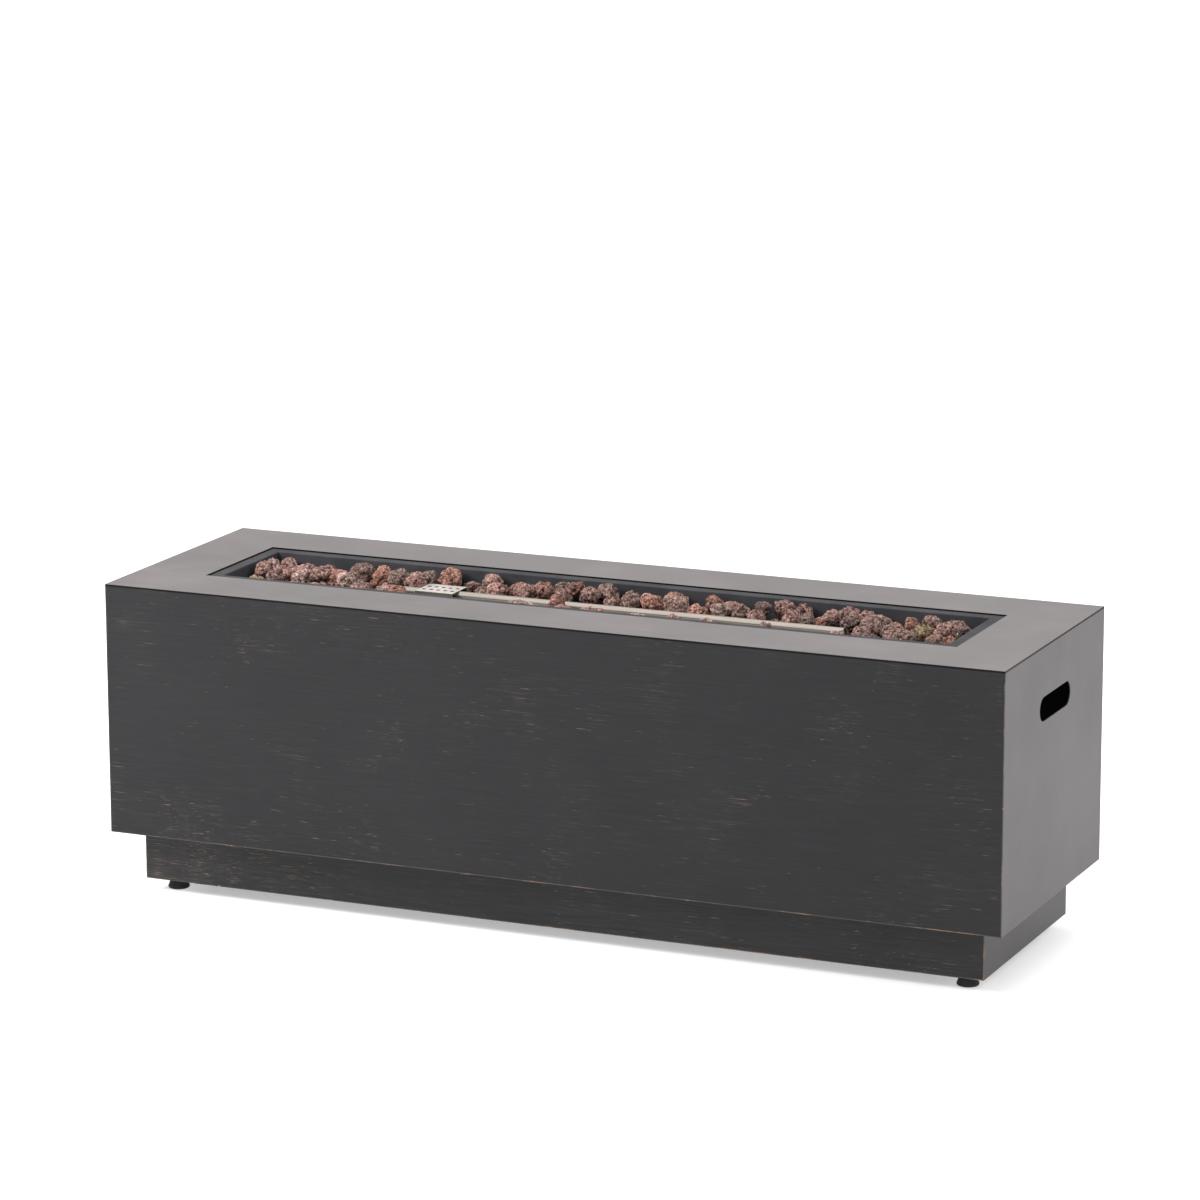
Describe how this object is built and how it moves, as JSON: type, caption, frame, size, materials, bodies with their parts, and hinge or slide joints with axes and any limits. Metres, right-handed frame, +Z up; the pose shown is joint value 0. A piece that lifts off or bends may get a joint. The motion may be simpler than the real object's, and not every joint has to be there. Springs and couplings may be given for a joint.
{
  "type": "propane fire pit",
  "caption": "Long rectangular gas fire pit: dark brushed sheet case on a recessed plinth with screw feet, a lava-rock burner trough in the top and a side control dish.",
  "frame": {"origin": "on the floor under the middle of the case", "axes": "+X along the case towards its plain end, +Y from front to back, +Z up"},
  "size_m": [1.4335, 0.441, 0.482],
  "materials": {
    "case_finish": "dark charcoal brushed sheet with bronze wear",
    "plinth_finish": "dark charcoal brushed sheet, browner",
    "pan_paint": "matte heat-proof dark slate",
    "dish_paint": "satin black",
    "stainless": "satin",
    "zinc_steel": "zinc plated",
    "brass_fittings": "machined",
    "aluminium_tube": "satin",
    "copper": "dull copper",
    "white_ceramic": "satin",
    "black_rubber": "matte",
    "foot_plastic": "matte",
    "black_plastic": "matte",
    "red_plastic": "gloss",
    "battery_can": "plain metal can",
    "lead_sleeve": "silicone sleeve",
    "lava_stone": "porous lava"
  },
  "bodies": {
    "cabinet": {"top_panel": "case_finish", "front_panel": "case_finish", "back_panel": "case_finish", "left_end_panel": "case_finish", "right_end_panel": "case_finish", "plinth_front": "plinth_finish", "plinth_back": "plinth_finish", "plinth_left": "plinth_finish", "plinth_right": "plinth_finish", "hose_grommet": "black_rubber", "foot_weld_nuts": "zinc_steel", "top_nuts": "zinc_steel", "plinth_bolts": "zinc_steel", "plinth_nuts": "zinc_steel", "burner_pan": "pan_paint", "burner_tube": "stainless", "burner_end_plug": "stainless", "igniter_hood": "stainless", "pilot_bracket": "stainless", "electrode_ceramic": "white_ceramic", "electrode_pin": "stainless", "thermocouple": "copper", "pan_screws": "stainless", "inlet_jam_nut": "brass_fittings", "mixer_fitting": "brass_fittings", "gas_tube": "aluminium_tube", "gas_tube_nuts": "brass_fittings", "control_dish": "dish_paint", "dish_screws": "stainless", "valve_screws": "stainless", "gas_valve": "aluminium_tube", "inlet_fitting": "brass_fittings", "igniter_body": "black_plastic", "igniter_nut": "black_plastic", "battery_cell": "battery_can", "igniter_lead": "lead_sleeve", "thermocouple_lead": "copper", "lava_rocks": "lava_stone", "burner_saddle_1": "stainless", "burner_saddle_2": "stainless", "foot_bracket_front_left": "zinc_steel", "foot_bracket_front_right": "zinc_steel", "foot_bracket_back_left": "zinc_steel", "foot_bracket_back_right": "zinc_steel"},
    "stem_carrier": {"thrust_washer": "zinc_steel", "stem_spring": "zinc_steel"},
    "knob": {"control_knob": "black_plastic", "valve_stem": "brass_fittings"},
    "cap": {"igniter_cap": "black_plastic", "igniter_spring": "zinc_steel"},
    "button": {"igniter_button": "red_plastic"},
    "front_left_pad": {"foot_pad_front_left": "foot_plastic"},
    "front_left_stud": {"foot_stud_front_left": "zinc_steel"},
    "front_right_pad": {"foot_pad_front_right": "foot_plastic"},
    "front_right_stud": {"foot_stud_front_right": "zinc_steel"},
    "back_left_pad": {"foot_pad_back_left": "foot_plastic"},
    "back_left_stud": {"foot_stud_back_left": "zinc_steel"},
    "back_right_pad": {"foot_pad_back_right": "foot_plastic"},
    "back_right_stud": {"foot_stud_back_right": "zinc_steel"}
  },
  "joints": [
    {"name": "knob_push", "type": "slide", "parent": "cabinet", "child": "stem_carrier", "axis": [1, 0, 0], "range_m": [0, 0.004], "stiffness_N_per_m": 1500, "deforming": ["stem_spring"]},
    {"name": "knob_turn", "type": "hinge", "parent": "stem_carrier", "child": "knob", "pos_m": [-0.7035, -0.032, 0.23], "axis": [-1, 0, 0], "range_deg": [0, 180]},
    {"name": "igniter_cap_off", "type": "slide", "parent": "cabinet", "child": "cap", "axis": [-1, 0, 0], "range_m": [0, 0.045]},
    {"name": "igniter_press", "type": "slide", "parent": "cap", "child": "button", "axis": [1, 0, 0], "range_m": [0, 0.003], "stiffness_N_per_m": 1000, "deforming": ["igniter_spring"]},
    {"name": "front_left_height", "type": "slide", "parent": "cabinet", "child": "front_left_pad", "axis": [0, 0, 1], "range_m": [-0.015, 0]},
    {"name": "front_left_turn", "type": "hinge", "parent": "front_left_pad", "child": "front_left_stud", "pos_m": [-0.636, -0.1465, 0.012], "axis": [0, 0, 1], "range_deg": [-4320, 0]},
    {"name": "front_right_height", "type": "slide", "parent": "cabinet", "child": "front_right_pad", "axis": [0, 0, 1], "range_m": [-0.015, 0]},
    {"name": "front_right_turn", "type": "hinge", "parent": "front_right_pad", "child": "front_right_stud", "pos_m": [0.636, -0.1465, 0.012], "axis": [0, 0, 1], "range_deg": [-4320, 0]},
    {"name": "back_left_height", "type": "slide", "parent": "cabinet", "child": "back_left_pad", "axis": [0, 0, 1], "range_m": [-0.015, 0]},
    {"name": "back_left_turn", "type": "hinge", "parent": "back_left_pad", "child": "back_left_stud", "pos_m": [-0.636, 0.1465, 0.012], "axis": [0, 0, 1], "range_deg": [-4320, 0]},
    {"name": "back_right_height", "type": "slide", "parent": "cabinet", "child": "back_right_pad", "axis": [0, 0, 1], "range_m": [-0.015, 0]},
    {"name": "back_right_turn", "type": "hinge", "parent": "back_right_pad", "child": "back_right_stud", "pos_m": [0.636, 0.1465, 0.012], "axis": [0, 0, 1], "range_deg": [-4320, 0]}
  ],
  "couplings": [
    {"joint": "front_left_turn", "follows": "front_left_height", "rad_per_m": 5026.5},
    {"joint": "front_right_turn", "follows": "front_right_height", "rad_per_m": 5026.5},
    {"joint": "back_left_turn", "follows": "back_left_height", "rad_per_m": 5026.5},
    {"joint": "back_right_turn", "follows": "back_right_height", "rad_per_m": 5026.5}
  ]
}
